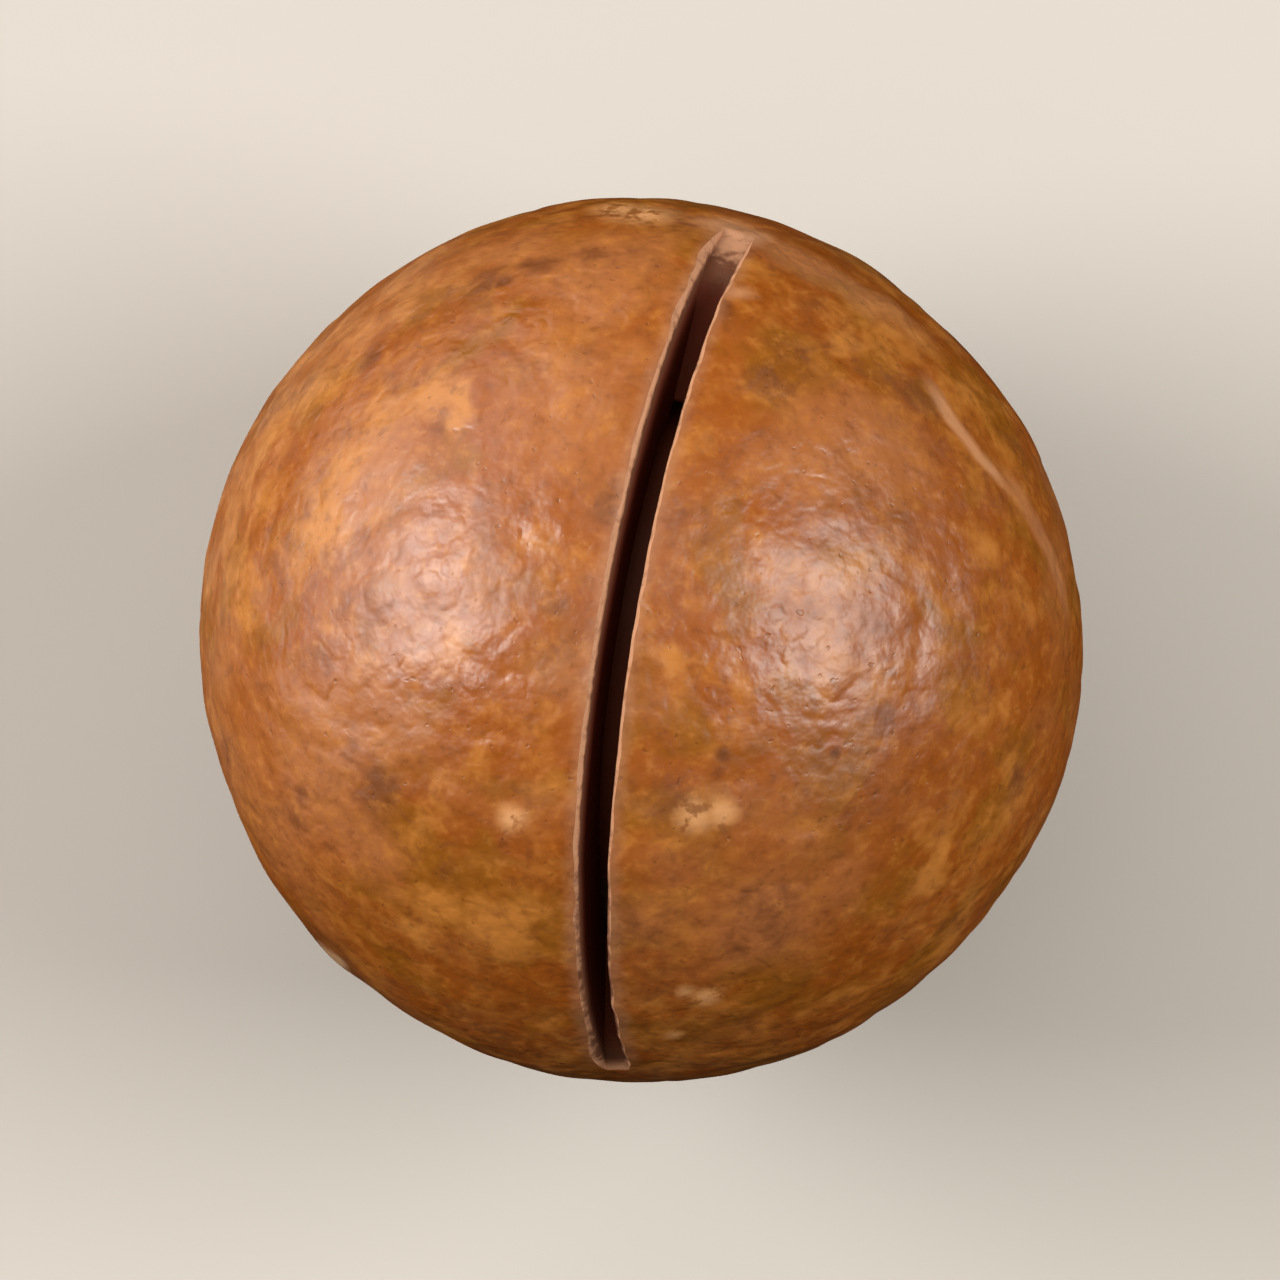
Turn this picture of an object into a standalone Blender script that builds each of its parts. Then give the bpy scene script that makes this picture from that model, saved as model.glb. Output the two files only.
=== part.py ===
"""A macadamia nut in its shell, with the slit that is sawn in it for an opener key.

Metres, +Z up. The nut rests on a small flat spot at the origin. Seen from above, with +Y away from the viewer,
the slit crosses the top of the nut from its far side to its near side.
"""

import math

import bmesh
import bpy
from mathutils import Vector, noise

MM = 0.001

# Driving dimensions
NUT_RADIUS = 12.5 * MM
SHELL_WALL = 2.5 * MM
WALL_AT_SCAR = 0.5 * MM  # extra wall behind the scar
KERNEL_RADIUS = 9.1 * MM
KERNEL_GAP = 0.3 * MM  # between the kernel and the lining that it lies on
REST_SPOT_RADIUS = 2.2 * MM

# The shell's two poles: the scar where it grew on its husk, and the small nib opposite
SCAR_AZIMUTH = 46.0
SCAR_ELEVATION = -5.0

# The saw cut: a plane beside the nut's middle, and the stretch of it at full depth
KERF_WIDTH = 0.9 * MM
KERF_DEPTH = 2.9 * MM
KERF_OFFSET = 1.8 * MM
KERF_YAW = -9.0
KERF_LEAN = 11.5
KERF_FROM = 62.0  # degrees from the far end of the plane, over its top
KERF_TO = 132.0
BLADE_RADIUS = 30.0 * MM
BLADE_LEAVES = 36.0  # degrees past full depth at which the blade's arc is sure to be outside the nut

# The shallow groove beyond the blade's steep arcs, where it only skimmed the skin
SKIM_DEPTH = 0.35 * MM
SKIM_FROM = 19.0
SKIM_DEEP_FROM = 30.0
SKIM_DEEP_TO = 163.0
SKIM_TO = 168.0

# The kerf is narrower towards its near end
KERF_NARROWING = 0.26 * MM
NARROWS_FROM = 100.0
NARROWS_TO = 165.0

KERF_STEP = 4.0  # degrees between the cutter's sections
KERF_OVERSHOOT = 3.0  # degrees by which the cutter passes the ends of the groove
CUTTER_OVERSHOOT = 1.5 * MM

# The skin's relief
OBLATE = 0.10 * MM  # how much shorter the nut is along its poles
SWELL_PITCH = 7.5 * MM
SWELL_HEIGHT = 0.15 * MM
DIMPLE_PITCH = 2.9 * MM
DIMPLE_HEIGHT = 0.045 * MM
SCAR_DISH_RADIUS = 3.0 * MM
SCAR_DISH_DEPTH = 0.20 * MM
SCAR_PIT_RADIUS = 0.75 * MM
SCAR_PIT_DEPTH = 0.50 * MM
SCAR_CREASES = 5
SCAR_CREASE_SWAY = 0.6
SCAR_CREASE_SHARPNESS = 6
SCAR_CREASE_DEPTH = 0.12 * MM
SCAR_CREASE_REACH = 2.2 * MM
NIB_RADIUS = 1.0 * MM
NIB_HEIGHT = 0.09 * MM

# The kernel's form
KERNEL_SWELL = 0.32 * MM
KERNEL_TIP_RADIUS = 1.3 * MM
KERNEL_TIP_HEIGHT = 0.45 * MM
KERNEL_SEAM_DEPTH = 0.10 * MM
KERNEL_SEAM_WIDTH = 0.7 * MM

# Where in the endless noise each relief is taken from
SWELL_SHIFT = 3.7
DIMPLE_SHIFT = 11.3
KERNEL_SHIFT = 21.9

# Fineness of the meshes
SKIN_SUBDIVISIONS = 5
INNER_SUBDIVISIONS = 4
SCAR_REFINED_RADII = (3.4 * MM, 1.6 * MM)
NIB_REFINED_RADII = (2.2 * MM,)

SHELL_BROWN = (0.376, 0.130, 0.034, 1.0)
KERNEL_CREAM = (0.80, 0.60, 0.33, 1.0)


def direction(azimuth, elevation):
    """The unit vector at this azimuth from +X towards +Y and this elevation, in degrees."""
    a, e = math.radians(azimuth), math.radians(elevation)
    return Vector((math.cos(a) * math.cos(e), math.sin(a) * math.cos(e), math.sin(e)))


SCAR = direction(SCAR_AZIMUTH, SCAR_ELEVATION)
NIB = -SCAR
NUT_CENTRE = Vector((0, 0, math.sqrt(NUT_RADIUS**2 - REST_SPOT_RADIUS**2)))
ACROSS = direction(KERF_YAW, KERF_LEAN)
ALONG = Vector((0, 0, 1)).cross(ACROSS).normalized()
UPWARDS = ACROSS.cross(ALONG)
KERF_RIM = math.sqrt(NUT_RADIUS**2 - KERF_OFFSET**2)
BLADE_HUB = KERF_RIM - KERF_DEPTH + BLADE_RADIUS


def hump(distance, radius):
    """A smooth bump: 1 at no distance, near 0 at twice the radius."""
    return math.exp(-((distance / radius) ** 2))


def waves(towards, pitch, height, shift):
    """Smooth natural unevenness of this pitch on the nut's surface."""
    return height * noise.noise(towards * (NUT_RADIUS / pitch) + Vector((shift, shift, shift)))


def scar_relief(towards):
    """The shallow dish of the scar, the pit in its middle and the creases that run out from the pit."""
    away = NUT_RADIUS * towards.angle(SCAR)
    if away > 3 * SCAR_DISH_RADIUS:
        return 0.0
    side = SCAR.orthogonal().normalized()
    turn = math.atan2(towards.dot(SCAR.cross(side)), towards.dot(side))
    crease = math.cos(0.5 * SCAR_CREASES * turn + SCAR_CREASE_SWAY * math.sin(turn)) ** SCAR_CREASE_SHARPNESS
    crease *= hump(away - SCAR_CREASE_REACH / 2, SCAR_CREASE_REACH / 2)
    dish = SCAR_DISH_DEPTH * hump(away, SCAR_DISH_RADIUS)
    pit = SCAR_PIT_DEPTH * hump(away, SCAR_PIT_RADIUS)
    return -(dish + pit + SCAR_CREASE_DEPTH * crease)


def skin_radius(towards):
    """Distance from the nut's centre to its skin."""
    along_poles = towards.dot(SCAR)
    radius = NUT_RADIUS - OBLATE * along_poles**2
    radius += waves(towards, SWELL_PITCH, SWELL_HEIGHT, SWELL_SHIFT)
    radius += waves(towards, DIMPLE_PITCH, DIMPLE_HEIGHT, DIMPLE_SHIFT)
    radius += NIB_HEIGHT * hump(NUT_RADIUS * towards.angle(NIB), NIB_RADIUS)
    return radius + scar_relief(towards)


def hollow_radius(towards):
    """Distance from the nut's centre to the hollow's lining."""
    wall = SHELL_WALL + WALL_AT_SCAR * max(0.0, towards.dot(SCAR)) ** 3
    return NUT_RADIUS - wall + waves(towards, SWELL_PITCH, 0.5 * SWELL_HEIGHT, SWELL_SHIFT)


def kernel_radius(towards):
    """Distance from the kernel's centre to its surface: a ball with two seed leaves and a small tip."""
    radius = KERNEL_RADIUS + waves(towards, SWELL_PITCH, KERNEL_SWELL, KERNEL_SHIFT)
    radius += KERNEL_TIP_HEIGHT * hump(KERNEL_RADIUS * towards.angle(NIB), KERNEL_TIP_RADIUS)
    seam_normal = SCAR.orthogonal().normalized()
    from_seam = KERNEL_RADIUS * towards.dot(seam_normal)
    return radius - KERNEL_SEAM_DEPTH * hump(from_seam, KERNEL_SEAM_WIDTH)


def material(name, colour, roughness):
    """A plain material of this colour."""
    made = bpy.data.materials.new(name)
    made.use_nodes = True
    surface = made.node_tree.nodes["Principled BSDF"]
    surface.inputs["Base Color"].default_value = colour
    surface.inputs["Roughness"].default_value = roughness
    surface.inputs["Metallic"].default_value = 0.0
    return made


def add_object(name, bm, finish=None):
    """Makes an object of a bmesh, which it frees."""
    mesh = bpy.data.meshes.new(name)
    bm.to_mesh(mesh)
    bm.free()
    made = bpy.data.objects.new(name, mesh)
    if finish:
        mesh.materials.append(finish)
    bpy.context.scene.collection.objects.link(made)
    return made


def refine(bm, middle, radii):
    """Halves the edges of a unit ball within each of these distances of a point, as measured on the nut."""
    for radius in radii:
        near = {v for v in bm.verts if NUT_RADIUS * v.co.angle(middle) < radius}
        edges = [e for e in bm.edges if near.issuperset(e.verts)]
        bmesh.ops.subdivide_edges(bm, edges=edges, cuts=1)
        bmesh.ops.triangulate(bm, faces=[f for f in bm.faces if len(f.verts) > 3])


def unit_ball(subdivisions):
    """A ball of radius 1 made of near-equal triangles."""
    bm = bmesh.new()
    bmesh.ops.create_icosphere(bm, subdivisions=subdivisions, radius=1.0)
    return bm


def shape(bm, radius_of, centre=(0, 0, 0)):
    """Moves each point of a unit ball to radius_of(direction) from the centre."""
    for vertex in bm.verts:
        towards = vertex.co.normalized()
        vertex.co = Vector(centre) + towards * radius_of(towards)
    return bm


def cut_rest_spot(bm):
    """Cuts the ball off flat at the height of the surface that it rests on."""
    everything = [*bm.verts, *bm.edges, *bm.faces]
    bmesh.ops.bisect_plane(bm, geom=everything, plane_co=(0, 0, 0), plane_no=(0, 0, -1), clear_outer=True)
    rim = [e for e in bm.edges if e.is_boundary]
    bmesh.ops.contextual_create(bm, geom=rim)
    bmesh.ops.recalc_face_normals(bm, faces=bm.faces)


def plane_ray(angle):
    """The direction in the saw's plane at this angle in degrees, from its level far side over its top."""
    return ALONG * math.cos(math.radians(angle)) + UPWARDS * math.sin(math.radians(angle))


def blade_arc(angle):
    """Distance of the blade's deepest reach from the plane's centre: level, and then the round blade's own arc."""
    past = min(max(KERF_FROM - angle, angle - KERF_TO, 0.0), BLADE_LEAVES)
    across = BLADE_HUB * math.sin(math.radians(past))
    return BLADE_HUB * math.cos(math.radians(past)) - math.sqrt(BLADE_RADIUS**2 - across**2)


def skim_depth(angle):
    """Depth of the skimmed groove below the skin, which is negative past its ends."""
    start = (angle - SKIM_FROM) / (SKIM_DEEP_FROM - SKIM_FROM)
    end = (SKIM_TO - angle) / (SKIM_TO - SKIM_DEEP_TO)
    return SKIM_DEPTH * min(start, end, 1.0)


def kerf_floor(angle):
    """Distance of the kerf's floor from the plane's centre."""
    skin = skin_radius(plane_ray(angle)) - NUT_RADIUS + KERF_RIM
    return min(blade_arc(angle), skin - skim_depth(angle))


def kerf_half_width(angle):
    """Half the kerf's width, which narrows smoothly towards its near end."""
    share = min(max((angle - NARROWS_FROM) / (NARROWS_TO - NARROWS_FROM), 0.0), 1.0)
    return (KERF_WIDTH - KERF_NARROWING * share * share * (3 - 2 * share)) / 2


def kerf_cutter():
    """The space that the saw blade passed through, as a curved bar of the kerf's width."""
    outside = NUT_RADIUS + CUTTER_OVERSHOOT
    first, last = SKIM_FROM - KERF_OVERSHOOT, SKIM_TO + KERF_OVERSHOOT
    steps = round((last - first) / KERF_STEP)
    bm = bmesh.new()
    sections = []
    for i in range(steps + 1):
        angle = first + (last - first) * i / steps
        ray = plane_ray(angle)
        floor = kerf_floor(angle)
        middle = NUT_CENTRE + ACROSS * KERF_OFFSET
        half = ACROSS * kerf_half_width(angle)
        corners = (ray * floor - half, ray * floor + half, ray * outside + half, ray * outside - half)
        sections.append([bm.verts.new(middle + corner) for corner in corners])
    for here, beyond in zip(sections, sections[1:]):
        for i in range(4):
            j = (i + 1) % 4
            bm.faces.new((here[i], here[j], beyond[j], beyond[i]))
    bm.faces.new(sections[0])
    bm.faces.new(sections[-1])
    bmesh.ops.recalc_face_normals(bm, faces=bm.faces)
    return bm


def hide_cutter(cutter):
    """Marks a cutter as a helper, which isn't part of the nut."""
    cutter.hide_render = True
    cutter.display_type = "WIRE"
    return cutter


def cut(target, cutter):
    """Cuts one object out of another, which stays a live modifier."""
    modifier = target.modifiers.new("Cut " + cutter.name, "BOOLEAN")
    modifier.operation = "DIFFERENCE"
    modifier.object = hide_cutter(cutter)


def build_shell():
    """The woody shell: the skin with its rest spot, less the hollow and the saw's kerf."""
    skin = unit_ball(SKIN_SUBDIVISIONS)
    refine(skin, SCAR, SCAR_REFINED_RADII)
    refine(skin, NIB, NIB_REFINED_RADII)
    cut_rest_spot(shape(skin, skin_radius, NUT_CENTRE))
    shell = add_object("shell", skin, material("shell_wood", SHELL_BROWN, 0.42))
    hollow = shape(unit_ball(INNER_SUBDIVISIONS), hollow_radius, NUT_CENTRE)
    cut(shell, add_object("hollow_cutter", hollow))
    cut(shell, add_object("kerf_cutter", kerf_cutter()))
    shell.data.shade_smooth()
    shell.data.set_sharp_from_angle(angle=math.radians(35))
    return shell


def build_kernel():
    """The seed, which has dried away from the shell and lies at the bottom of the hollow."""
    flesh = shape(unit_ball(INNER_SUBDIVISIONS), kernel_radius)
    kernel = add_object("kernel", flesh, material("kernel_flesh", KERNEL_CREAM, 0.5))
    lowest = min(vertex.co.z for vertex in kernel.data.vertices)
    lining = NUT_CENTRE.z - hollow_radius(Vector((0, 0, -1)))
    kernel.location = (0, 0, lining + KERNEL_GAP - lowest)
    kernel.data.shade_smooth()
    return kernel


def main():
    for leftover in list(bpy.data.objects):
        bpy.data.objects.remove(leftover)
    build_shell()
    build_kernel()


main()
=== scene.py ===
"""The looks of a macadamia nut in its shell, sawn for an opener key. Metres, +Z up.

The nut is seen from straight above, with +Y at the top of the picture. Its fine shell and kernel follow the
same rules as the solids that they stand for, with finer relief.
"""

import math

import bmesh
import bpy
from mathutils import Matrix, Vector, noise


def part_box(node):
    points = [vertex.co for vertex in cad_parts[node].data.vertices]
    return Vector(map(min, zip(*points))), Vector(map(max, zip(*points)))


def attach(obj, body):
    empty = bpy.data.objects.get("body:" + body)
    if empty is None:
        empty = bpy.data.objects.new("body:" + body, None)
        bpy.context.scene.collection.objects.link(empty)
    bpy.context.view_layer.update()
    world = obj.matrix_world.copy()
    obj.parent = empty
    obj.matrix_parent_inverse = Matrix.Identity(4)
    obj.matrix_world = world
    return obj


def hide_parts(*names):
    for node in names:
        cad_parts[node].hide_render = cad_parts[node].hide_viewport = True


MM = 0.001

# Driving dimensions, as in the solids
NUT_RADIUS = 12.5 * MM
SHELL_WALL = 2.5 * MM
WALL_AT_SCAR = 0.5 * MM
KERNEL_RADIUS = 9.1 * MM
REST_SPOT_RADIUS = 2.2 * MM
SCAR_AZIMUTH = 46.0
SCAR_ELEVATION = -5.0

# The saw cut, as in the solids
KERF_WIDTH = 0.9 * MM
KERF_DEPTH = 2.9 * MM
KERF_OFFSET = 1.8 * MM
KERF_YAW = -9.0
KERF_LEAN = 11.5
KERF_FROM = 62.0  # degrees from the far end of the plane, over its top
KERF_TO = 132.0
BLADE_RADIUS = 30.0 * MM
BLADE_LEAVES = 36.0
SKIM_DEPTH = 0.35 * MM
SKIM_FROM = 19.0
SKIM_DEEP_FROM = 30.0
SKIM_DEEP_TO = 163.0
SKIM_TO = 168.0
KERF_NARROWING = 0.26 * MM
NARROWS_FROM = 100.0
NARROWS_TO = 165.0

# The relief of the solids
OBLATE = 0.10 * MM
SWELL_PITCH = 7.5 * MM
SWELL_HEIGHT = 0.15 * MM
DIMPLE_PITCH = 2.9 * MM
DIMPLE_HEIGHT = 0.045 * MM
SCAR_DISH_RADIUS = 3.0 * MM
SCAR_DISH_DEPTH = 0.20 * MM
SCAR_REACH = 3 * SCAR_DISH_RADIUS
SCAR_PIT_RADIUS = 0.75 * MM
SCAR_PIT_DEPTH = 0.50 * MM
SCAR_CREASES = 5
SCAR_CREASE_SWAY = 0.6
SCAR_CREASE_SHARPNESS = 6
SCAR_CREASE_DEPTH = 0.12 * MM
SCAR_CREASE_REACH = 2.2 * MM
NIB_RADIUS = 1.0 * MM
NIB_HEIGHT = 0.09 * MM
KERNEL_SWELL = 0.32 * MM
KERNEL_TIP_RADIUS = 1.3 * MM
KERNEL_TIP_HEIGHT = 0.45 * MM
KERNEL_SEAM_DEPTH = 0.10 * MM
KERNEL_SEAM_WIDTH = 0.7 * MM
SWELL_SHIFT = 3.7
DIMPLE_SHIFT = 11.3
KERNEL_SHIFT = 21.9

# The finer relief, which only the looks have
FINE_INSET = 0.03 * MM  # keeps the finer bumps within the solid's size
BUMP_PITCH = 1.35 * MM
BUMP_HEIGHT = 0.050 * MM
BUMP_SHIFT = 5.1
WRINKLE_PITCH = 2.1 * MM
WRINKLE_DEPTH = 0.040 * MM
WRINKLE_SHARPNESS = 3
WRINKLE_SHIFT = 17.3
EDGE_WEAR = 0.10 * MM  # how far the kerf's edges are worn back
END_WEAR = 0.10 * MM  # how much further near its ends
END_WEAR_REACH = 22.0  # degrees from the groove's ends
MOST_WEAR = 0.7  # of the kerf's depth
CHIP_PITCH = 0.8 * MM
CHIP_SHARE = 0.8  # of the wear, by which it varies
RIGHT_CHIP_SHIFT = 0.0
LEFT_CHIP_SHIFT = 7.0
LEAST_DEPTH = 0.02 * MM  # of a kerf that is cut at all, and of the wood left under its floor

# Fineness of the shell's mesh
COLUMNS = 360
RIGHT_ROWS = 80
LEFT_ROWS = 96
EDGE_ROWS = 5
EDGE_ZONE = 0.6 * MM
WALL_ROWS = 9
FLOOR_CELLS = 5
SURFACE_ROUNDS = 4  # of working out where a surface is met
SHARP_ANGLE = 38.0  # degrees, from which an edge stays sharp, as the kerf's edges do
LINING_RIGHT_ROWS = 15
LINING_LEFT_ROWS = 18
KERNEL_SUBDIVISIONS = 5


def direction(azimuth, elevation):
    """The unit vector at this azimuth from +X towards +Y and this elevation, in degrees."""
    a, e = math.radians(azimuth), math.radians(elevation)
    return Vector((math.cos(a) * math.cos(e), math.sin(a) * math.cos(e), math.sin(e)))


SCAR = direction(SCAR_AZIMUTH, SCAR_ELEVATION)
NIB = -SCAR
NUT_CENTRE = Vector((0, 0, math.sqrt(NUT_RADIUS**2 - REST_SPOT_RADIUS**2)))
ACROSS = direction(KERF_YAW, KERF_LEAN)
ALONG = Vector((0, 0, 1)).cross(ACROSS).normalized()
UPWARDS = ACROSS.cross(ALONG)
KERF_RIM = math.sqrt(NUT_RADIUS**2 - KERF_OFFSET**2)
BLADE_HUB = KERF_RIM - KERF_DEPTH + BLADE_RADIUS


def hump(distance, radius):
    """A smooth bump: 1 at no distance, near 0 at twice the radius."""
    return math.exp(-((distance / radius) ** 2))


def waves(towards, pitch, height, shift):
    """Smooth natural unevenness of this pitch on the nut's surface."""
    return height * noise.noise(towards * (NUT_RADIUS / pitch) + Vector((shift, shift, shift)))


def scar_relief(towards):
    """The shallow dish of the scar, the pit in its middle and the creases that run out from the pit."""
    away = NUT_RADIUS * towards.angle(SCAR)
    if away > SCAR_REACH:
        return 0.0
    side = SCAR.orthogonal().normalized()
    turn = math.atan2(towards.dot(SCAR.cross(side)), towards.dot(side))
    crease = math.cos(0.5 * SCAR_CREASES * turn + SCAR_CREASE_SWAY * math.sin(turn)) ** SCAR_CREASE_SHARPNESS
    crease *= hump(away - SCAR_CREASE_REACH / 2, SCAR_CREASE_REACH / 2)
    dish = SCAR_DISH_DEPTH * hump(away, SCAR_DISH_RADIUS)
    pit = SCAR_PIT_DEPTH * hump(away, SCAR_PIT_RADIUS)
    return -(dish + pit + SCAR_CREASE_DEPTH * crease)


def fine_relief(towards):
    """The small bumps and shallow wrinkles of the woody skin."""
    relief = waves(towards, BUMP_PITCH, BUMP_HEIGHT, BUMP_SHIFT)
    fold = 1 - min(1.0, WRINKLE_SHARPNESS * abs(waves(towards, WRINKLE_PITCH, 1.0, WRINKLE_SHIFT)))
    return relief - WRINKLE_DEPTH * fold * fold


def skin_radius(towards):
    """Distance from the nut's centre to its skin, which is cut off flat where the nut rests."""
    along_poles = towards.dot(SCAR)
    radius = NUT_RADIUS - FINE_INSET - OBLATE * along_poles**2
    radius += waves(towards, SWELL_PITCH, SWELL_HEIGHT, SWELL_SHIFT)
    radius += waves(towards, DIMPLE_PITCH, DIMPLE_HEIGHT, DIMPLE_SHIFT)
    radius += NIB_HEIGHT * hump(NUT_RADIUS * towards.angle(NIB), NIB_RADIUS)
    radius += scar_relief(towards) + fine_relief(towards)
    if towards.z < 0:
        radius = min(radius, NUT_CENTRE.z / -towards.z)
    return radius


def hollow_radius(towards):
    """Distance from the nut's centre to the hollow's lining."""
    wall = SHELL_WALL + WALL_AT_SCAR * max(0.0, towards.dot(SCAR)) ** 3
    return NUT_RADIUS - wall + waves(towards, SWELL_PITCH, 0.5 * SWELL_HEIGHT, SWELL_SHIFT)


def kernel_radius(towards):
    """Distance from the kernel's centre to its surface: a ball with two seed leaves and a small tip."""
    radius = KERNEL_RADIUS + waves(towards, SWELL_PITCH, KERNEL_SWELL, KERNEL_SHIFT)
    radius += KERNEL_TIP_HEIGHT * hump(KERNEL_RADIUS * towards.angle(NIB), KERNEL_TIP_RADIUS)
    seam_normal = SCAR.orthogonal().normalized()
    from_seam = KERNEL_RADIUS * towards.dot(seam_normal)
    return radius - KERNEL_SEAM_DEPTH * hump(from_seam, KERNEL_SEAM_WIDTH)


def plane_ray(angle):
    """The direction in the saw's plane at this angle in degrees, from its level far side over its top."""
    return ALONG * math.cos(math.radians(angle)) + UPWARDS * math.sin(math.radians(angle))


def blade_arc(angle):
    """Distance of the blade's deepest reach from the plane's centre: level, then the round blade's arc."""
    past = min(max(KERF_FROM - angle, angle - KERF_TO, 0.0), BLADE_LEAVES)
    across = BLADE_HUB * math.sin(math.radians(past))
    return BLADE_HUB * math.cos(math.radians(past)) - math.sqrt(BLADE_RADIUS**2 - across**2)


def skim_depth(angle):
    """Depth of the skimmed groove below the skin, which is negative past its ends."""
    start = (angle - SKIM_FROM) / (SKIM_DEEP_FROM - SKIM_FROM)
    end = (SKIM_TO - angle) / (SKIM_TO - SKIM_DEEP_TO)
    return SKIM_DEPTH * min(start, end, 1.0)


def smooth_step(value):
    """Rises smoothly from 0 to 1 as the value does."""
    value = min(max(value, 0.0), 1.0)
    return value * value * (3 - 2 * value)


def kerf_half_width(angle):
    """Half the kerf's width, which narrows smoothly towards its near end."""
    share = (angle - NARROWS_FROM) / (NARROWS_TO - NARROWS_FROM)
    return (KERF_WIDTH - KERF_NARROWING * smooth_step(share)) / 2


def edge_wear(angle, chip_shift):
    """How far the kerf's edge is worn back here: unevenly, and further near the kerf's ends."""
    from_end = min(angle - SKIM_FROM, SKIM_TO - angle)
    worn = EDGE_WEAR + END_WEAR * smooth_step(1 - from_end / END_WEAR_REACH)
    chips = noise.noise(plane_ray(angle) * (NUT_RADIUS / CHIP_PITCH) + ACROSS * chip_shift)
    return worn * (1 + CHIP_SHARE * chips)


def spread(first, last, count):
    """count + 1 evenly spaced numbers from first to last."""
    return [first + (last - first) * i / count for i in range(count + 1)]


class ShellColumn:
    """One column of the shell's points, at an angle about the axis that runs across the saw's plane.

    Points run from the right pole over the skin, down the kerf's right wall, over its floor, up the left wall
    and on to the left pole, and in the same way over the lining.
    """

    def __init__(self, bm, poles, theta):
        self.bm = bm
        self.ray = plane_ray(theta)
        half = kerf_half_width(theta)
        self.right_wall, self.left_wall = KERF_OFFSET + half, KERF_OFFSET - half
        right_edge = self.latitude(skin_radius, self.right_wall)
        left_edge = self.latitude(skin_radius, self.left_wall)
        skin_distance = skin_radius(self.towards(right_edge)) * math.sin(right_edge)
        bottom = min(blade_arc(theta), skin_distance - skim_depth(theta))
        depth = skin_distance - bottom
        self.open = depth > LEAST_DEPTH
        self.through = bottom < self.lining_reach() + LEAST_DEPTH
        self.worn_right = self.worn_left = 0.0
        if self.open:
            self.worn_right = min(edge_wear(theta, RIGHT_CHIP_SHIFT), MOST_WEAR * depth)
            self.worn_left = min(edge_wear(theta, LEFT_CHIP_SHIFT), MOST_WEAR * depth)
            right_edge = self.latitude(skin_radius, self.right_wall + self.worn_right)
            left_edge = self.latitude(skin_radius, self.left_wall - self.worn_left)
        right_zone, left_zone = self.right_wall + EDGE_ZONE, self.left_wall - EDGE_ZONE
        self.skin_right = self.cap(skin_radius, poles[0], right_zone, RIGHT_ROWS, right_edge)
        self.skin_left = self.cap(skin_radius, poles[1], left_zone, LEFT_ROWS, left_edge)
        self.lining_right = self.cap(hollow_radius, poles[2], self.right_wall, LINING_RIGHT_ROWS)
        self.lining_left = self.cap(hollow_radius, poles[3], self.left_wall, LINING_LEFT_ROWS)
        self.add_kerf(bottom)

    def towards(self, phi):
        """The direction at this angle in radians from the right pole."""
        return ACROSS * math.cos(phi) + self.ray * math.sin(phi)

    def latitude(self, radius_of, across):
        """The angle from the right pole at which the surface is this far across from the nut's centre."""
        phi = math.pi / 2
        for _ in range(SURFACE_ROUNDS):
            phi = math.acos(across / radius_of(self.towards(phi)))
        return phi

    def lining_reach(self):
        """How far out along the column's ray the lining comes between the kerf's walls."""
        turns = [self.latitude(hollow_radius, across) for across in (self.right_wall, self.left_wall)]
        return max(hollow_radius(self.towards(phi)) * math.sin(phi) for phi in turns)

    def surface_point(self, radius_of, phi):
        """A new point on this surface, at this angle from the right pole."""
        towards = self.towards(phi)
        return self.bm.verts.new(NUT_CENTRE + towards * radius_of(towards))

    def plane_point(self, across, distance):
        """A new point this far across from the nut's centre and this far out along the column's ray."""
        return self.bm.verts.new(NUT_CENTRE + ACROSS * across + self.ray * distance)

    def cap(self, radius_of, pole, across, rows, edge=None):
        """The points from a pole to a place across, and from there closer together to the kerf's edge."""
        start = 0.0 if across > KERF_OFFSET else math.pi
        turn = self.latitude(radius_of, across)
        angles = spread(start, turn, rows)[1:]
        if edge:
            angles += spread(turn, edge, EDGE_ROWS)[1:]
        return [pole] + [self.surface_point(radius_of, phi) for phi in angles]

    def band(self, radius_of, right, left):
        """The points that join the two sides over this surface."""
        first = self.latitude(radius_of, self.right_wall)
        last = self.latitude(radius_of, self.left_wall)
        turns = spread(first, last, FLOOR_CELLS)[1:-1]
        return [right, *(self.surface_point(radius_of, phi) for phi in turns), left]

    def add_kerf(self, bottom):
        """The kerf's walls and floor, or the skin that closes the gap beyond its ends."""
        right, left = self.skin_right[-1], self.skin_left[-1]
        inner_right, inner_left = self.lining_right[-1], self.lining_left[-1]
        self.lining_band = None if self.through else self.band(hollow_radius, inner_right, inner_left)
        if not self.open:
            self.floor = self.band(skin_radius, right, left)
            self.wall_right = [right] * (WALL_ROWS + 1)
            self.wall_left = [left] * (WALL_ROWS + 1)
            return
        self.wall_right = self.wall(right, self.right_wall, self.worn_right, inner_right, bottom)
        self.wall_left = self.wall(left, self.left_wall, self.worn_left, inner_left, bottom)
        self.floor = None
        if not self.through:
            acrosses = spread(self.right_wall, self.left_wall, FLOOR_CELLS)[1:-1]
            between = [self.plane_point(across, bottom) for across in acrosses]
            self.floor = [self.wall_right[-1], *between, self.wall_left[-1]]

    def wall(self, top, across, worn, inner, bottom):
        """One wall of the kerf, from the skin's worn edge to its floor, or to the lining of a cut through."""
        top_distance = (top.co - NUT_CENTRE).dot(self.ray)
        if self.through:
            bottom = (inner.co - NUT_CENTRE).dot(self.ray)
        rows = spread(top_distance - worn, bottom, WALL_ROWS - 1)
        if self.through:
            return [top, *(self.plane_point(across, distance) for distance in rows[:-1]), inner]
        return [top, *(self.plane_point(across, distance) for distance in rows)]


SKIN, CUT, LINING = range(3)


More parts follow.
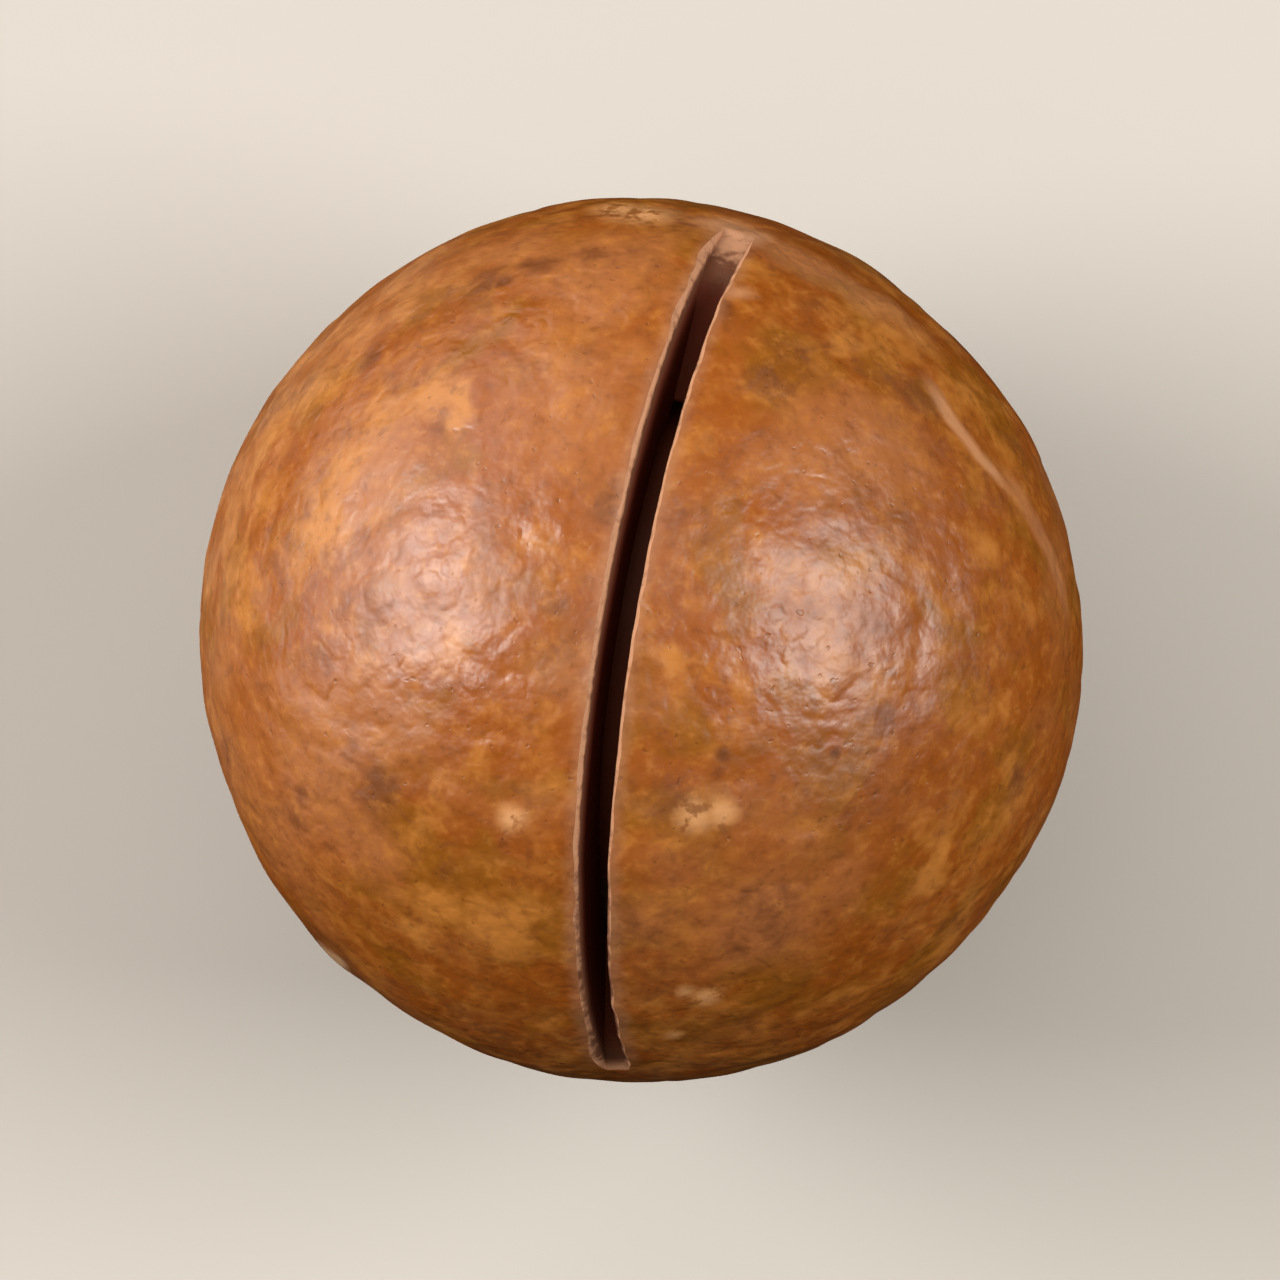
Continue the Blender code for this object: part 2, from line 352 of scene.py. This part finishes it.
def add_strip(bm, first, second, finish):
    """Joins two rows of points with faces of this finish. Shared points make triangles, or no face."""
    for i in range(len(first) - 1):
        corners = []
        for vertex in (first[i], first[i + 1], second[i + 1], second[i]):
            if vertex not in corners:
                corners.append(vertex)
        if len(corners) > 2:
            bm.faces.new(corners).material_index = finish


def join_columns(bm, first, second):
    """Fills the surface between two neighbouring columns."""
    add_strip(bm, first.skin_right, second.skin_right, SKIN)
    add_strip(bm, first.skin_left, second.skin_left, SKIN)
    add_strip(bm, first.lining_right, second.lining_right, LINING)
    add_strip(bm, first.lining_left, second.lining_left, LINING)
    add_strip(bm, first.wall_right, second.wall_right, CUT)
    add_strip(bm, first.wall_left, second.wall_left, CUT)
    if first.floor and second.floor:
        add_strip(bm, first.floor, second.floor, CUT if first.open or second.open else SKIN)
        add_strip(bm, first.lining_band, second.lining_band, LINING)
    elif first.floor or second.floor:
        blind, through = (first, second) if first.floor else (second, first)
        add_strip(bm, blind.floor, blind.lining_band, CUT)
        for i, wall in ((0, through.wall_right), (-1, through.wall_left)):
            bm.faces.new((blind.floor[i], blind.lining_band[i], wall[-1])).material_index = CUT


def shell_mesh():
    """The whole shell as one closed surface: skin, kerf and lining."""
    bm = bmesh.new()
    poles = []
    for radius_of in (skin_radius, hollow_radius):
        for towards in (ACROSS, -ACROSS):
            poles.append(bm.verts.new(NUT_CENTRE + towards * radius_of(towards)))
    columns = [ShellColumn(bm, poles, 360.0 * i / COLUMNS) for i in range(COLUMNS)]
    for first, second in zip(columns, columns[1:] + columns[:1]):
        join_columns(bm, first, second)
    bmesh.ops.recalc_face_normals(bm, faces=bm.faces)
    return bm


def add_mesh(name, bm, materials, sharp_angle=None):
    """Makes an object of a bmesh, which it frees."""
    mesh = bpy.data.meshes.new(name)
    bm.to_mesh(mesh)
    bm.free()
    for material in materials:
        mesh.materials.append(material)
    mesh.shade_smooth()
    if sharp_angle:
        mesh.set_sharp_from_angle(angle=math.radians(sharp_angle))
    made = bpy.data.objects.new(name, mesh)
    bpy.context.scene.collection.objects.link(made)
    return made


# How softly marks and lines fade
MARK_SOFTNESS = 0.9  # share of a mark's radius over which its edge fades
LINE_SIDE_CORE = 0.2  # share of a line's half width at full strength
LINE_END_CORE = 0.4  # share of its half length at full strength


class Paint:
    """A material's node tree, written as sums of patterns. Lengths and places in it are in millimetres."""

    def __init__(self, name, roughness, specular=0.5):
        self.material = bpy.data.materials.new(name)
        self.material.use_nodes = True
        self.tree = self.material.node_tree
        self.surface = self.tree.nodes["Principled BSDF"]
        self.surface.inputs["Roughness"].default_value = roughness
        self.surface.inputs["Specular IOR Level"].default_value = specular
        coordinates = self.tree.nodes.new("ShaderNodeTexCoord").outputs["Object"]
        self.place = self.vector("SCALE", {0: coordinates, 3: 1 / MM})

    def node(self, kind, inputs, **settings):
        """A node of this kind. Each input is a number, a colour or another node's output."""
        made = self.tree.nodes.new("ShaderNode" + kind)
        for name, value in settings.items():
            setattr(made, name, value)
        for key, value in inputs.items():
            if isinstance(value, bpy.types.NodeSocket):
                self.tree.links.new(value, made.inputs[key])
            else:
                made.inputs[key].default_value = value
        return made

    def vector(self, operation, inputs):
        """A place or a direction worked out from others."""
        return self.node("VectorMath", inputs, operation=operation).outputs["Vector"]

    def maths(self, operation, first, second=0.0):
        """A number worked out from one or two others."""
        return self.node("Math", {0: first, 1: second}, operation=operation).outputs[0]

    def times(self, first, second):
        """The product of two values."""
        return self.maths("MULTIPLY", first, second)

    def plus(self, first, second):
        """The sum of two values."""
        return self.maths("ADD", first, second)

    def either(self, first, second):
        """The greater of two values."""
        return self.maths("MAXIMUM", first, second)

    def between(self, value, low, high, bottom=0.0, top=1.0):
        """Turns a value smoothly into bottom at low and top at high."""
        inputs = {"Value": value, "From Min": low, "From Max": high, "To Min": bottom, "To Max": top}
        return self.node("MapRange", inputs, interpolation_type="SMOOTHSTEP").outputs[0]

    def noise(self, pitch, detail=2.0, roughness=0.5, distortion=0.0, where=None, shift=0.0):
        """Soft unevenness of this pitch, about 0.5 on average."""
        place = where or self.place
        if shift:
            place = self.vector("ADD", {0: place, 1: (shift, shift, shift)})
        inputs = {
            "Vector": place,
            "Scale": 1 / pitch,
            "Detail": detail,
            "Roughness": roughness,
            "Distortion": distortion,
        }
        return self.node("TexNoise", inputs).outputs["Fac"]

    def push(self, pitch):
        """A soft wandering direction, with which outlines are moved so that they aren't plain circles."""
        wander = self.node("TexNoise", {"Vector": self.place, "Scale": 1 / pitch, "Detail": 1.0})
        return self.vector("SUBTRACT", {0: wander.outputs["Color"], 1: (0.5, 0.5, 0.5)})

    def pushed(self, push, reach):
        """The place, moved by up to about this much."""
        return self.vector("ADD", {0: self.place, 1: self.vector("SCALE", {0: push, 3: 2 * reach})})

    def distance(self, point, where=None):
        """The distance from a point, which is given in metres."""
        inputs = {0: where or self.place, 1: tuple(Vector(point) / MM)}
        return self.node("VectorMath", inputs, operation="DISTANCE").outputs["Value"]

    def along(self, axis):
        """How far the place lies from the nut's centre along this axis."""
        inputs = {0: self.place, 1: tuple(axis)}
        out = self.node("VectorMath", inputs, operation="DOT_PRODUCT").outputs["Value"]
        return self.plus(out, -NUT_CENTRE.dot(axis) / MM)

    def off_saw(self):
        """The distance from the middle of the saw's cut."""
        return self.maths("ABSOLUTE", self.plus(self.along(ACROSS), -KERF_OFFSET / MM))

    def mix(self, first, second, amount):
        """The first colour, with this share of the second."""
        return self.node("Mix", {0: amount, 6: first, 7: second}, data_type="RGBA").outputs[2]

    def spots(self, marks, where, softness=MARK_SOFTNESS):
        """1 within each mark and 0 outside them, with edges as soft as this share of its radius."""
        nearest = 1.0
        for right, up, radius in marks:
            reach = radius * NUT_RADIUS / MM
            share = self.times(self.distance(seen_point(right, up), where), 1 / reach)
            nearest = self.maths("MINIMUM", nearest, share)
        return self.between(nearest, 1.0, 1.0 - softness)

    def marked(self, pattern, marks, where, amount):
        """The pattern, raised by this amount within the marks."""
        return self.plus(pattern, self.times(self.spots(marks, where), amount))

    def line(self, places, where, half_width, half_length):
        """1 along a curved line on the skin through three places, fading to 0 at its sides and ends."""
        first, middle, last = (seen_point(*place) for place in places)
        axis = (middle - first).cross(last - middle).normalized()
        if axis.dot(middle - NUT_CENTRE) < 0:
            axis.negate()
        pole = NUT_CENTRE + axis * NUT_RADIUS
        off = self.maths("ABSOLUTE", self.plus(self.distance(pole, where), -(middle - pole).length / MM))
        along = self.between(self.distance(middle, where), half_length, LINE_END_CORE * half_length)
        return self.times(self.between(off, half_width, LINE_SIDE_CORE * half_width), along)

    def finish(self, colour, roughness=None, height=None):
        """Gives the surface this colour and, where given, a roughness pattern and a relief in millimetres."""
        self.tree.links.new(colour, self.surface.inputs["Base Color"])
        if roughness:
            self.tree.links.new(roughness, self.surface.inputs["Roughness"])
        if height:
            bump = self.node("Bump", {"Height": height, "Distance": MM, "Strength": 1.0})
            self.tree.links.new(bump.outputs[0], self.surface.inputs["Normal"])
        return self.material


def colour(red, green, blue):
    """An opaque colour in linear values."""
    return (red, green, blue, 1.0)


BROWN = colour(0.285, 0.071, 0.0040)
OCHRE = colour(0.255, 0.084, 0.0035)
ROSE = colour(0.360, 0.119, 0.030)
TAN = colour(0.480, 0.178, 0.028)
PLUM = colour(0.150, 0.040, 0.007)
DARK = colour(0.070, 0.019, 0.006)
FLAKE_AND_GLINT = colour(0.72, 0.36, 0.14)
SCUFF_AND_SHEEN = colour(0.62, 0.30, 0.14)
SAWDUST = colour(0.36, 0.175, 0.095)
CUT_PALE = colour(0.48, 0.235, 0.125)
CUT_BROWN = colour(0.130, 0.042, 0.016)
CUT_DEEP_SHADE = colour(0.160, 0.024, 0.005)
NIB_PALE = colour(0.50, 0.30, 0.16)
LINING_DARK = colour(0.060, 0.020, 0.008)
LINING_BROWN = colour(0.130, 0.045, 0.016)
LINING_CREAM = colour(0.62, 0.46, 0.28)
KERNEL_CREAM = colour(0.84, 0.66, 0.40)
KERNEL_TAN = colour(0.70, 0.46, 0.21)
KERNEL_BROWN = colour(0.36, 0.17, 0.06)
KERNEL_SLIT_SHADE = colour(0.280, 0.045, 0.009)
PAPER = colour(0.52, 0.50, 0.47)
PAPER_ROUGHNESS = 0.9

# Where in the endless noise these patterns are taken from
STAIN_SHIFT = 13.0
OCHRE_SHIFT = 31.0
CRINKLE_SHIFT = 47.0

# Relief in the materials, in millimetres
RIPPLE_HEIGHT = 0.070
CRINKLE_HEIGHT = 0.016
PORE_DEPTH = 0.008
CRACK_DEPTH = 0.060
SAW_MARK_HEIGHT = 0.020
FIBRE_HEIGHT = 0.030
LINING_RELIEF = 0.05
KERNEL_RELIEF = 0.05

# The groove's two ends, in degrees, and how far the pale wood reaches from them, in millimetres
PALE_ENDS = ((SKIM_FROM, 1.6), (SKIM_TO, 0.6))

# Marks on the skin as (right, up, radius) seen from above, in parts of the nut's radius
TAN_MARKS = (
    (-0.66, 0.375, 0.13), (-0.70, 0.25, 0.12), (-0.51, 0.52, 0.14), (-0.41, 0.51, 0.09),
    (-0.81, 0.49, 0.12), (-0.60, -0.22, 0.09), (-0.44, -0.33, 0.07), (-0.30, -0.64, 0.15),
    (-0.45, -0.60, 0.10), (0.10, -0.57, 0.08), (0.02, 0.07, 0.06), (0.07, -0.04, 0.06),
    (0.45, 0.67, 0.07), (-0.88, 0.08, 0.10), (0.66, -0.52, 0.08), (0.05, -0.47, 0.07),
    (-0.51, -0.67, 0.08),
)
OCHRE_MARKS = (
    (-0.30, -0.60, 0.24), (-0.50, -0.45, 0.16), (0.08, -0.40, 0.14), (0.00, -0.62, 0.14), (0.34, 0.62, 0.18),
    (0.30, -0.75, 0.18),
)
ROSE_MARKS = (
    (-0.84, 0.15, 0.22), (-0.65, 0.42, 0.32), (-0.68, 0.66, 0.22), (-0.84, 0.48, 0.30), (-0.10, 0.78, 0.18),
    (0.55, 0.45, 0.20), (0.12, 0.78, 0.14), (-0.60, -0.50, 0.20),
)
ROSELESS_MARKS = ((-0.26, 0.60, 0.26), (-0.45, 0.62, 0.18))
# Pale flakes, except the two marks at the top edge, near (0.00, 0.955) and (-0.05, 0.965), which are a
# painted highlight on the rim.
FLAKE_AND_GLINT_MARKS = (
    (0.12, -0.39, 0.065), (0.18, -0.38, 0.06), (0.15, -0.80, 0.055), (0.10, -0.79, 0.04),
    (-0.285, -0.395, 0.055), (0.00, 0.955, 0.12), (-0.05, 0.965, 0.09), (0.08, -0.89, 0.04),
)
SCUFF_MARKS = ((0.19, 0.93, 0.11), (0.25, 0.90, 0.10), (0.20, 0.78, 0.06))
PLUM_MARKS = (
    (-0.34, 0.80, 0.10), (-0.22, 0.84, 0.09), (-0.10, 0.87, 0.07), (-0.56, -0.36, 0.12), (-0.45, -0.50, 0.08),
    (0.33, 0.60, 0.16), (0.20, 0.72, 0.07), (0.17, -0.27, 0.07), (0.21, -0.69, 0.05), (-0.62, 0.62, 0.09),
)
DARK_MARKS = ((0.18, -0.25, 0.030), (0.435, -0.25, 0.026), (0.214, -0.69, 0.022), (-0.30, 0.80, 0.035))

# Pale lines on the skin, each through three places given as (right, up)
STREAK = ((0.647, 0.584), (0.735, 0.446), (0.830, 0.335))
STREAK_TAIL = ((0.845, 0.325), (0.900, 0.235), (0.945, 0.115))
# The next two lines are painted sheen: pale bands near the upper right rim and the left edge, standing for
# light reflected at the rim.
RIGHT_RIM_SHEEN = ((0.28, 0.88), (0.46, 0.80), (0.62, 0.70))
LEFT_RIM_SHEEN = ((-0.50, 0.82), (-0.86, 0.45), (-0.955, -0.20))


def seen_point(right, up):
    """The point of the skin that is seen from above at this place, in parts of the nut's radius."""
    return NUT_CENTRE + Vector((right, up, math.sqrt(1 - right**2 - up**2))) * NUT_RADIUS


def skin_clouds(paint, loose, cloud, stain):
    """The skin's soft patches: ochre, rose, tan and plum on brown."""
    slow = paint.noise(pitch=6.5, detail=2.0)
    rose = paint.marked(slow, ROSE_MARKS, loose, 0.15)
    rose = paint.marked(rose, ROSELESS_MARKS, loose, -0.10)
    tan = paint.marked(cloud, TAN_MARKS, loose, 0.27)
    tan = paint.plus(tan, paint.between(slow, 0.35, 0.65, bottom=0.07, top=-0.06))
    plum = paint.marked(stain, PLUM_MARKS, loose, 0.18)
    ochre = paint.noise(pitch=2.3, detail=2.0, roughness=0.55, where=loose, shift=OCHRE_SHIFT)
    ochre = paint.marked(ochre, OCHRE_MARKS, loose, 0.20)
    shade = paint.mix(BROWN, OCHRE, paint.between(ochre, 0.48, 0.66, top=0.85))
    shade = paint.mix(shade, ROSE, paint.between(rose, 0.50, 0.70))
    shade = paint.mix(shade, TAN, paint.between(tan, 0.45, 0.84, top=0.92))
    return paint.mix(shade, PLUM, paint.between(plum, 0.53, 0.76, top=0.80))


def skin_scuffs_and_sheen(paint, loose, near, cloud):
    """How much the skin is paled: scuffed in marks, pale along streaks, and given painted sheen along the
    upper right rim and in clouds along the left edge.
    """
    scuff_and_sheen = paint.times(paint.spots(SCUFF_MARKS, loose), 0.8)
    for places, where, half_width, half_length, amount in (
        (STREAK, near, 0.44, 2.6, 0.80),
        (STREAK_TAIL, near, 0.60, 3.2, 0.35),
        # Painted sheen: a pale band along the upper right rim.
        (RIGHT_RIM_SHEEN, loose, 1.3, 3.8, 0.30),
    ):
        scuff_and_sheen = paint.either(scuff_and_sheen, paint.times(paint.line(places, where, half_width, half_length), amount))
    # Painted sheen: a pale band in clouds along the left edge.
    left_rim_sheen = paint.line(LEFT_RIM_SHEEN, loose, half_width=3.2, half_length=11.0)
    clouds = paint.between(cloud, 0.35, 0.65, bottom=0.16, top=0.40)
    return paint.either(scuff_and_sheen, paint.times(left_rim_sheen, clouds))


def sawdust(paint, grain):
    """How much pale dust lies beside the slit, on the upper part of the nut."""
    beside = paint.plus(paint.off_saw(), paint.times(grain, -0.5))
    above = paint.between(paint.along(UPWARDS), 2.5, 4.0)
    return paint.times(above, paint.between(beside, 0.70, 0.20, top=0.45))


def skin_height(paint, pores, cracks):
    """The skin's finest relief: a soft ripple with creases, pores, and the scar's cracks."""
    ripple = paint.noise(pitch=0.95, detail=3.0, roughness=0.55)
    crinkle = paint.noise(pitch=1.3, detail=2.0, shift=CRINKLE_SHIFT)
    crinkle = paint.between(paint.maths("ABSOLUTE", paint.plus(crinkle, -0.5)), 0.0, 0.13)
    height = paint.plus(paint.times(ripple, RIPPLE_HEIGHT), paint.times(crinkle, CRINKLE_HEIGHT))
    height = paint.plus(height, paint.times(pores, -PORE_DEPTH))
    return paint.plus(height, paint.times(cracks, -CRACK_DEPTH))


def skin_paint():
    """Satin brown skin: clouded with tan and rose, with plum stains, pale flakes, pores and creases, painted
    sheen near the rims and a painted highlight at the top edge.
    """
    paint = Paint("shell_skin", roughness=0.38, specular=0.76)
    push = paint.push(pitch=1.3)
    loose = paint.pushed(push, reach=0.55)
    near = paint.pushed(push, reach=0.16)
    cloud = paint.noise(pitch=1.5, detail=3.0, roughness=0.62, where=loose)
    stain = paint.noise(pitch=2.6, detail=4.0, roughness=0.66, where=loose, shift=STAIN_SHIFT)
    grain = paint.noise(pitch=0.55, detail=3.0, roughness=0.66)
    pores = paint.between(paint.noise(pitch=0.30, detail=1.0), 0.30, 0.22)
    cracks = scar_cracks(paint)
    crumb = paint.between(grain, 0.36, 0.50, bottom=0.25)
    flake_and_glint = paint.times(paint.spots(FLAKE_AND_GLINT_MARKS, near), crumb)
    scuff_and_sheen = skin_scuffs_and_sheen(paint, loose, near, cloud)

    shade = skin_clouds(paint, loose, cloud, stain)
    shade = paint.mix(shade, TAN, paint.between(grain, 0.50, 0.75, top=0.50))
    shade = paint.mix(shade, PLUM, paint.between(grain, 0.50, 0.25, top=0.50))
    shade = paint.mix(shade, DARK, paint.times(paint.spots(DARK_MARKS, near, softness=0.8), 0.6))
    shade = paint.mix(shade, DARK, paint.times(pores, 0.28))
    # Pale flakes, and a painted highlight at the top edge.
    shade = paint.mix(shade, FLAKE_AND_GLINT, paint.times(flake_and_glint, 0.7))
    # Real scuffs, together with painted sheen near the rims.
    shade = paint.mix(shade, SCUFF_AND_SHEEN, paint.times(scuff_and_sheen, 0.85))
    shade = paint.mix(shade, SAWDUST, sawdust(paint, grain))
    shade = paint_poles(paint, shade, loose, cracks)

    roughness = paint.between(stain, 0.35, 0.70, bottom=0.34, top=0.48)
    roughness = paint.either(roughness, paint.times(paint.either(flake_and_glint, scuff_and_sheen), 0.62))
    return paint.finish(shade, roughness, skin_height(paint, pores, cracks))


def scar_cracks(paint):
    """Fine cracks that run out from the scar's pit."""
    scar = NUT_CENTRE + SCAR * NUT_RADIUS
    outwards = paint.vector("SUBTRACT", {0: paint.place, 1: tuple(scar / MM)})
    outwards = paint.vector("NORMALIZE", {0: outwards})
    rays = paint.noise(pitch=0.42, detail=2.0, roughness=0.6, where=outwards)
    from_scar = paint.distance(scar)
    reach = paint.times(paint.between(from_scar, 3.0, 1.2), paint.between(from_scar, 0.1, 0.7))
    return paint.times(paint.between(rays, 0.47, 0.37), reach)


def paint_poles(paint, shade, loose, cracks):
    """Stains the scar dark, with its cracks, and paints the small pale nib in its dark ring."""
    from_scar = paint.distance(NUT_CENTRE + SCAR * NUT_RADIUS, loose)
    shade = paint.mix(shade, PLUM, paint.between(from_scar, 3.9, 1.5, top=0.85))
    shade = paint.mix(shade, DARK, paint.between(from_scar, 1.5, 0.5, top=0.9))
    shade = paint.mix(shade, DARK, paint.times(cracks, 0.85))
    from_nib = paint.distance(NUT_CENTRE + NIB * NUT_RADIUS, loose)
    shade = paint.mix(shade, PLUM, paint.between(from_nib, 2.2, 0.9, top=0.7))
    return paint.mix(shade, NIB_PALE, paint.between(from_nib, 0.85, 0.25, top=0.8))


def cut_paint():
    """Sawn wood: pale where the edges are worn and where the saw only skimmed, and darkened with depth, as
    painted shade, to nearly black inside.
    """
    paint = Paint("shell_cut", roughness=0.75)
    out = paint.distance(NUT_CENTRE)
    fibre = paint.noise(pitch=0.35, detail=3.0, roughness=0.6)
    depth = paint.plus(paint.times(out, -1.0), NUT_RADIUS / MM)
    depth = paint.plus(depth, paint.between(fibre, 0.2, 0.8, bottom=-0.10, top=0.10))
    shade = paint.mix(CUT_PALE, CUT_BROWN, paint.between(depth, 0.10, 0.32))
    # Painted shade: the cut wood darkens the deeper it lies below the skin.
    shade = paint.mix(shade, CUT_DEEP_SHADE, paint.between(depth, 0.30, 0.90))
    for angle, reach in PALE_ENDS:
        end = NUT_CENTRE + ACROSS * KERF_OFFSET + plane_ray(angle) * KERF_RIM
        shade = paint.mix(shade, CUT_PALE, paint.between(paint.distance(end), reach, 0.5 * reach, top=0.7))
    shade = paint.mix(shade, PLUM, paint.between(fibre, 0.45, 0.75, top=0.45))
    saw_marks = paint.noise(pitch=0.09, detail=1.0, where=paint.node("CombineXYZ", {0: out}).outputs[0])
    height = paint.plus(paint.times(saw_marks, SAW_MARK_HEIGHT), paint.times(fibre, FIBRE_HEIGHT))
    return paint.finish(shade, height=height)


def lining_paint():
    """The hollow's lining: dark glossy brown, with a cream patch round the nib's end."""
    paint = Paint("shell_lining", roughness=0.32)
    loose = paint.pushed(paint.push(pitch=3.0), reach=1.6)
    from_nib = paint.distance(NUT_CENTRE + NIB * (NUT_RADIUS - SHELL_WALL), loose)
    veins = paint.between(paint.noise(pitch=1.6, detail=4.0, roughness=0.6, distortion=0.8), 0.35, 0.70)
    shade = paint.mix(LINING_DARK, LINING_BROWN, veins)
    shade = paint.mix(shade, LINING_CREAM, paint.between(from_nib, 7.6, 6.8))
    relief = paint.noise(pitch=0.9, detail=3.0)
    return paint.finish(shade, height=paint.times(relief, LINING_RELIEF))


def kernel_paint():
    """The seed's flesh: waxy cream with pale tan clouds and fine specks, and painted dark brown under the
    slit as painted shade.
    """
    paint = Paint("kernel_flesh", roughness=0.45)
    cloud = paint.noise(pitch=3.5, detail=4.0, roughness=0.55)
    speck = paint.between(paint.noise(pitch=0.4, detail=3.0, roughness=0.6), 0.66, 0.74)
    shade = paint.mix(KERNEL_CREAM, KERNEL_TAN, paint.between(cloud, 0.35, 0.70))
    shade = paint.mix(shade, KERNEL_BROWN, paint.times(speck, 0.6))
    # Painted shade: the top of the kernel under the slit is darkened.
    above = paint.between(paint.along(Vector((0, 0, 1))), 2.7, 6.2)
    off = paint.plus(paint.off_saw(), paint.times(cloud, -0.8))
    slit_shade = paint.times(above, paint.between(off, 1.6, 0.7, top=0.97))
    shade = paint.mix(shade, KERNEL_SLIT_SHADE, slit_shade)
    relief = paint.noise(pitch=0.7, detail=4.0, roughness=0.6)
    return paint.finish(shade, height=paint.times(relief, KERNEL_RELIEF))


def paper():
    """The plain pale material of the floor."""
    made = bpy.data.materials.new("floor_paper")
    made.use_nodes = True
    surface = made.node_tree.nodes["Principled BSDF"]
    surface.inputs["Base Color"].default_value = PAPER
    surface.inputs["Roughness"].default_value = PAPER_ROUGHNESS
    return made


def build_shell():
    """The shell, with its skin, sawn walls and lining."""
    finishes = [skin_paint(), cut_paint(), lining_paint()]
    shell = add_mesh("nut_shell", shell_mesh(), finishes, SHARP_ANGLE)
    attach(shell, "root")
    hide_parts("shell")
    return shell


def build_kernel():
    """The kernel, as low in the hollow as its solid lies."""
    bm = bmesh.new()
    bmesh.ops.create_icosphere(bm, subdivisions=KERNEL_SUBDIVISIONS, radius=1.0)
    for vertex in bm.verts:
        towards = vertex.co.normalized()
        vertex.co = towards * kernel_radius(towards)
    lowest = min(vertex.co.z for vertex in bm.verts)
    bmesh.ops.translate(bm, verts=bm.verts, vec=(0, 0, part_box("kernel")[0][2] - lowest))
    kernel = add_mesh("nut_kernel", bm, [kernel_paint()])
    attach(kernel, "root")
    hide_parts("kernel")
    return kernel


# Camera, floor and light
CAMERA_HEIGHT = 0.60
SENSOR_WIDTH = 36.0  # in millimetres, as a Blender camera has it
CLIP_START = 0.01
FRAME_WIDTH = 36.0 * MM
FLOOR_RADIUS = 1.20
FLOOR_SIDES = 96
LIGHT_DISTANCE = 1.20
LIGHT_COLOUR = (1.0, 0.965, 0.92)
LEFT_LIGHT_FROM = Vector((-0.81, 0.19, 0.55))
LEFT_LIGHT_SIZE = 0.62
LEFT_RADIANCE = 10.2
RIGHT_LIGHT_FROM = Vector((0.75, 0.11, 0.66))
RIGHT_LIGHT_SIZE = 0.72
RIGHT_RADIANCE = 8.0
LOW_LIGHT_FROM = Vector((-0.86, 0.46, 0.10))
LOW_LIGHT_SIZE = 1.0
LOW_LIGHT_WIDTH = 2.2
LOW_RADIANCE = 1.5
FILL_LIGHT_FROM = Vector((-0.45, 0.50, 0.75))
FILL_LIGHT_SIZE = 2.0
FILL_RADIANCE = 0.78
BACKDROP = colour(1.0, 0.97, 0.94)
BACKDROP_STRENGTH = 0.75
AMBIENT = colour(1.0, 0.84, 0.66)
AMBIENT_STRENGTH = 0.22


def add_light(name, from_direction, size, radiance, width=None):
    """A soft light that shines at the nut from this direction, square unless its width is given."""
    data = bpy.data.lights.new(name, "AREA")
    data.shape = "RECTANGLE"
    data.size = width or size
    data.size_y = size
    data.energy = radiance * math.pi * data.size * size
    data.color = LIGHT_COLOUR
    lamp = bpy.data.objects.new(name, data)
    place = NUT_CENTRE + from_direction.normalized() * LIGHT_DISTANCE
    lamp.location = place
    lamp.rotation_euler = (NUT_CENTRE - place).to_track_quat("-Z", "Y").to_euler()
    bpy.context.scene.collection.objects.link(lamp)
    return lamp


def add_camera():
    """The camera straight above the nut, with FRAME_WIDTH in view at the height of the nut's centre."""
    data = bpy.data.cameras.new("camera")
    data.sensor_width = SENSOR_WIDTH
    data.lens = SENSOR_WIDTH * (CAMERA_HEIGHT - NUT_CENTRE.z) / FRAME_WIDTH
    data.clip_start = CLIP_START
    camera = bpy.data.objects.new("camera", data)
    camera.location = (0, 0, CAMERA_HEIGHT)
    bpy.context.scene.collection.objects.link(camera)
    bpy.context.scene.camera = camera


def add_floor():
    """The pale floor, which throws no light back at the nut."""
    bm = bmesh.new()
    bmesh.ops.create_circle(bm, cap_ends=True, segments=FLOOR_SIDES, radius=FLOOR_RADIUS)
    floor = add_mesh("floor", bm, [paper()])
    floor.visible_diffuse = False
    floor.visible_glossy = False


def add_world():
    """A pale backdrop, which gives the nut only a weak, warm light."""
    world = bpy.data.worlds.new("world")
    world.use_nodes = True
    tree = world.node_tree
    ambient = tree.nodes["Background"]
    ambient.inputs["Color"].default_value = AMBIENT
    ambient.inputs["Strength"].default_value = AMBIENT_STRENGTH
    backdrop = tree.nodes.new("ShaderNodeBackground")
    backdrop.inputs["Color"].default_value = BACKDROP
    backdrop.inputs["Strength"].default_value = BACKDROP_STRENGTH
    choice = tree.nodes.new("ShaderNodeMixShader")
    tree.links.new(tree.nodes.new("ShaderNodeLightPath").outputs["Is Camera Ray"], choice.inputs[0])
    tree.links.new(ambient.outputs[0], choice.inputs[1])
    tree.links.new(backdrop.outputs[0], choice.inputs[2])
    tree.links.new(choice.outputs[0], tree.nodes["World Output"].inputs["Surface"])
    world.cycles_visibility.glossy = False
    bpy.context.scene.world = world


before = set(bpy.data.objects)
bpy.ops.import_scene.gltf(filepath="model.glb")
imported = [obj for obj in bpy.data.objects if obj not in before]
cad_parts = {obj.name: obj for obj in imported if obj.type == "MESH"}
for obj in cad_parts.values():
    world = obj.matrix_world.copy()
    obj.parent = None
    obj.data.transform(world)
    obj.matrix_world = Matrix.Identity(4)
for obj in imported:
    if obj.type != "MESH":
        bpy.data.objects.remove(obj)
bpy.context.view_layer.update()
build_shell()
build_kernel()
add_floor()
add_world()
add_light("left_softbox", LEFT_LIGHT_FROM, LEFT_LIGHT_SIZE, LEFT_RADIANCE)
add_light("right_softbox", RIGHT_LIGHT_FROM, RIGHT_LIGHT_SIZE, RIGHT_RADIANCE)
add_light("low_softbox", LOW_LIGHT_FROM, LOW_LIGHT_SIZE, LOW_RADIANCE, LOW_LIGHT_WIDTH)
add_light("fill", FILL_LIGHT_FROM, FILL_LIGHT_SIZE, FILL_RADIANCE).visible_glossy = False
add_camera()
bpy.context.scene.view_settings.view_transform = "Standard"
